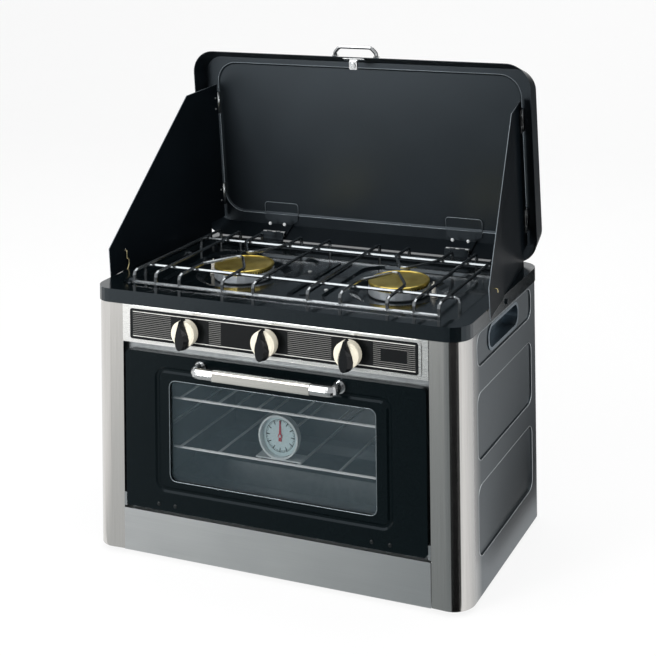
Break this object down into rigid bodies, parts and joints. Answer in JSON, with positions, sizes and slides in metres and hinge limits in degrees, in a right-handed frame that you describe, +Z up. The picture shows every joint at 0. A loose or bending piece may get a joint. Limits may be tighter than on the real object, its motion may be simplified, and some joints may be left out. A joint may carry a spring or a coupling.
{
  "type": "camping stove with oven",
  "caption": "Portable gas camping stove: covered hob with folding windshields and a wire pan grate over a small oven with a glazed drop-down door.",
  "frame": {"origin": "on the ground under the middle of the whole stove, lid open and windshields out", "axes": "+X to the right seen from the door, +Y to the back, +Z up"},
  "size_m": [0.5656, 0.3466, 0.6564],
  "materials": {
    "side_paint": "satin grey",
    "stainless": "brushed",
    "zinc_steel": "zinc plated",
    "enamel": "gloss black enamel",
    "black_paint": "satin black",
    "chrome": "polished",
    "brass": "bright",
    "cream_plastic": "satin cream",
    "black_plastic": "black",
    "rubber": "matte black",
    "ceramic": "white ceramic",
    "window_glass": "smoked",
    "dial_face": "printed dial",
    "pointer_red": "red",
    "handle_steel": "bright",
    "hook_wire": "yellow zinc"
  },
  "bodies": {
    "housing": {"left_side_wrap": "side_paint", "right_side_wrap": "side_paint", "back_panel": "side_paint", "left_carry_cup": "zinc_steel", "right_carry_cup": "zinc_steel", "base_pan": "zinc_steel", "kick_panel": "stainless", "left_front_foot": "rubber", "right_front_foot": "rubber", "left_rear_foot": "rubber", "right_rear_foot": "rubber", "hob_tray": "enamel", "left_burner_cup": "zinc_steel", "right_burner_cup": "zinc_steel", "left_burner_cap": "brass", "right_burner_cap": "brass", "left_igniter": "ceramic", "right_igniter": "ceramic", "control_panel": "stainless", "control_fascia": "black_plastic", "left_gas_valve": "brass", "middle_gas_valve": "brass", "right_gas_valve": "brass", "gas_manifold": "zinc_steel", "left_hob_feed": "zinc_steel", "right_hob_feed": "zinc_steel", "oven_feed": "zinc_steel", "oven_liner": "zinc_steel", "oven_burner": "zinc_steel", "flame_spreader": "zinc_steel", "lower_rack": "chrome", "upper_rack": "chrome", "thermometer_case": "chrome", "thermometer_dial": "dial_face", "left_base_leaf": "chrome", "right_base_leaf": "chrome"},
    "left_knob": {"left_knob_dial": "cream_plastic", "left_knob_grip": "black_plastic"},
    "middle_knob": {"middle_knob_dial": "cream_plastic", "middle_knob_grip": "black_plastic"},
    "right_knob": {"right_knob_dial": "cream_plastic", "right_knob_grip": "black_plastic"},
    "door": {"door_panel": "enamel", "door_glass": "window_glass", "door_inner_frame": "zinc_steel", "handle_bar": "handle_steel", "left_handle_bracket": "chrome", "right_handle_bracket": "chrome"},
    "grate": {"pan_grate": "chrome"},
    "needle": {"thermometer_needle": "pointer_red"},
    "lid": {"lid_shell": "black_paint", "left_lid_leaf": "black_paint", "right_lid_leaf": "black_paint", "lid_handle": "chrome", "latch_bracket": "chrome"},
    "latch": {"lid_latch": "chrome"},
    "left_shield": {"left_windshield": "black_paint"},
    "right_shield": {"right_windshield": "black_paint"},
    "left_hook_wire": {"left_hook": "hook_wire"},
    "right_hook_wire": {"right_hook": "hook_wire"}
  },
  "joints": [
    {"name": "left_knob_turn", "type": "hinge", "parent": "housing", "child": "left_knob", "pos_m": [-0.118, -0.1486, 0.3099], "axis": [0, -1, 0], "range_deg": [0, 180]},
    {"name": "middle_knob_turn", "type": "hinge", "parent": "housing", "child": "middle_knob", "pos_m": [0, -0.1486, 0.3099], "axis": [0, -1, 0], "range_deg": [0, 180]},
    {"name": "right_knob_turn", "type": "hinge", "parent": "housing", "child": "right_knob", "pos_m": [0.118, -0.1486, 0.3099], "axis": [0, -1, 0], "range_deg": [0, 180]},
    {"name": "oven_door", "type": "hinge", "parent": "housing", "child": "door", "pos_m": [0, -0.14318, 0.0705], "axis": [1, 0, 0], "range_deg": [0, 90]},
    {"name": "grate_lift", "type": "slide", "parent": "housing", "child": "grate", "axis": [0, 0, 1], "range_m": [0, 0.12]},
    {"name": "needle_turn", "type": "hinge", "parent": "housing", "child": "needle", "pos_m": [0, -0.11908, 0.1765], "axis": [0, -1, 0], "range_deg": [0, 240]},
    {"name": "lid_hinge", "type": "hinge", "parent": "housing", "child": "lid", "pos_m": [0, 0.14509, 0.36306], "axis": [-1, 0, 0], "range_deg": [0, 15]},
    {"name": "latch_turn", "type": "hinge", "parent": "lid", "child": "latch", "pos_m": [0, 0.11562, 0.62814], "axis": [0, -0.9951, -0.0993], "range_deg": [0, 90]},
    {"name": "left_shield_hinge", "type": "hinge", "parent": "lid", "child": "left_shield", "pos_m": [-0.2484, 0.16878, 0.37748], "axis": [0, 0.0993, -0.9951], "range_deg": [0, 25]},
    {"name": "right_shield_hinge", "type": "hinge", "parent": "lid", "child": "right_shield", "pos_m": [0.2484, 0.16878, 0.37748], "axis": [0, -0.0993, 0.9951], "range_deg": [0, 25]},
    {"name": "left_hook_swing", "type": "hinge", "parent": "left_shield", "child": "left_hook_wire", "pos_m": [-0.27816, -0.05854, 0.37891], "axis": [0.9914, -0.1299, -0.013], "range_deg": [-30, 30]},
    {"name": "right_hook_swing", "type": "hinge", "parent": "right_shield", "child": "right_hook_wire", "pos_m": [0.27816, -0.05854, 0.37891], "axis": [0.9914, 0.1299, 0.013], "range_deg": [-30, 30]}
  ]
}
